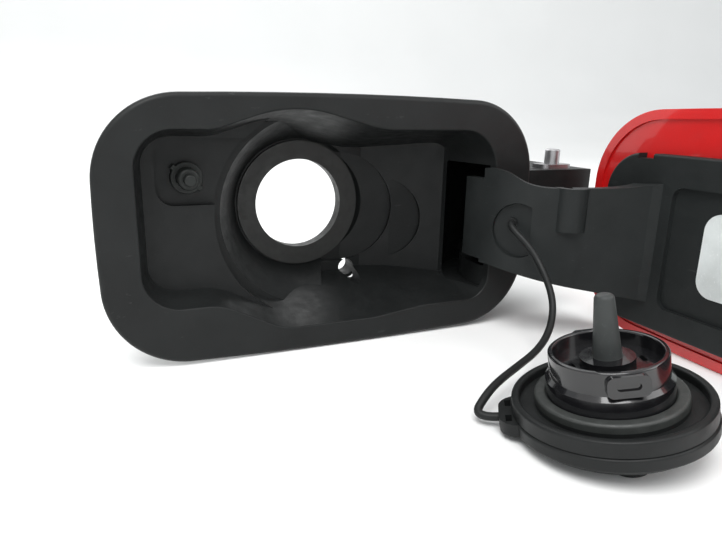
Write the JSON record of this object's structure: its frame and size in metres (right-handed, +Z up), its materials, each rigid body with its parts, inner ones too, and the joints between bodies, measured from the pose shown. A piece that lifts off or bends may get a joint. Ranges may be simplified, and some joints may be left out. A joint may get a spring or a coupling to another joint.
{
  "type": "fuel filler flap unit",
  "caption": "Fuel filler flap unit: moulded pocket with flange and funnel, sprung latch, gooseneck flap with painted skin and a vented bayonet cap on a strap.",
  "frame": {"origin": "centre of the filler hole, in the plane of the funnel's floor", "axes": "+X towards the hinge, +Y into the car along the filler neck, +Z up"},
  "size_m": [0.253, 0.2934, 0.117],
  "materials": {
    "housing_plastic": "matte, fine grain",
    "neck_rubber": "satin",
    "latch_plastic": "satin",
    "spring_steel": "bright wire",
    "pin_steel": "plain",
    "arm_plastic": "matte, fine grain",
    "skin_paint": "gloss red",
    "label_film": "bare pale film",
    "cap_plastic": "matte",
    "plug_plastic": "gloss black",
    "centre_plastic": "matte mid grey",
    "seal_rubber": "grey rubber",
    "strap_plastic": "matte"
  },
  "bodies": {
    "housing": {"filler_housing": "housing_plastic", "neck_seal": "neck_rubber", "latch_sleeve": "latch_plastic", "latch_spring": "spring_steel", "hinge_pin": "pin_steel", "pin_clip": "pin_steel", "hinge_spring": "spring_steel"},
    "plunger": {"latch_plunger": "latch_plastic"},
    "flap": {"flap_arm": "arm_plastic", "flap_skin": "skin_paint", "flap_label": "label_film", "flap_striker": "latch_plastic", "strap_anchor": "strap_plastic"},
    "ring": {"tether_ring": "cap_plastic", "strap": "strap_plastic"},
    "cap": {"cap_cover": "cap_plastic", "cap_skirt": "cap_plastic", "cap_seal": "seal_rubber", "cap_plug": "plug_plastic", "centre_pin": "centre_plastic", "valve_spring": "spring_steel"},
    "valve": {"valve_plate": "centre_plastic"}
  },
  "joints": [
    {"name": "flap_hinge", "type": "hinge", "parent": "housing", "child": "flap", "pos_m": [0.132, -0.043, 0], "axis": [0, 0, 1], "range_deg": [-90, 0], "stiffness_Nm_per_rad": 0.15, "springref_deg": 34.38},
    {"name": "cap_return", "type": "hinge", "parent": "flap", "child": "ring", "pos_m": [0.06763, -0.158, -0.00231], "axis": [-0.5362, -0.667, 0.5172], "range_deg": [0, 102], "deforming": ["strap"]},
    {"name": "cap_turn", "type": "hinge", "parent": "ring", "child": "cap", "pos_m": [0.056, -0.1678, -0.027], "axis": [-0.1499, 0.0807, 0.9854], "continuous": true},
    {"name": "latch_push", "type": "slide", "parent": "housing", "child": "plunger", "axis": [0, 1, 0], "range_m": [0, 0.005], "stiffness_N_per_m": 600, "springref_m": -0.004, "deforming": ["latch_spring"]},
    {"name": "valve_lift", "type": "slide", "parent": "cap", "child": "valve", "axis": [0.1499, -0.0807, -0.9854], "range_m": [0, 0.002], "stiffness_N_per_m": 400, "springref_m": -0.002, "deforming": ["valve_spring"]}
  ],
  "couplings": [
    {"joint": "cap_return", "follows": "flap_hinge", "ratio": -1.1238}
  ]
}
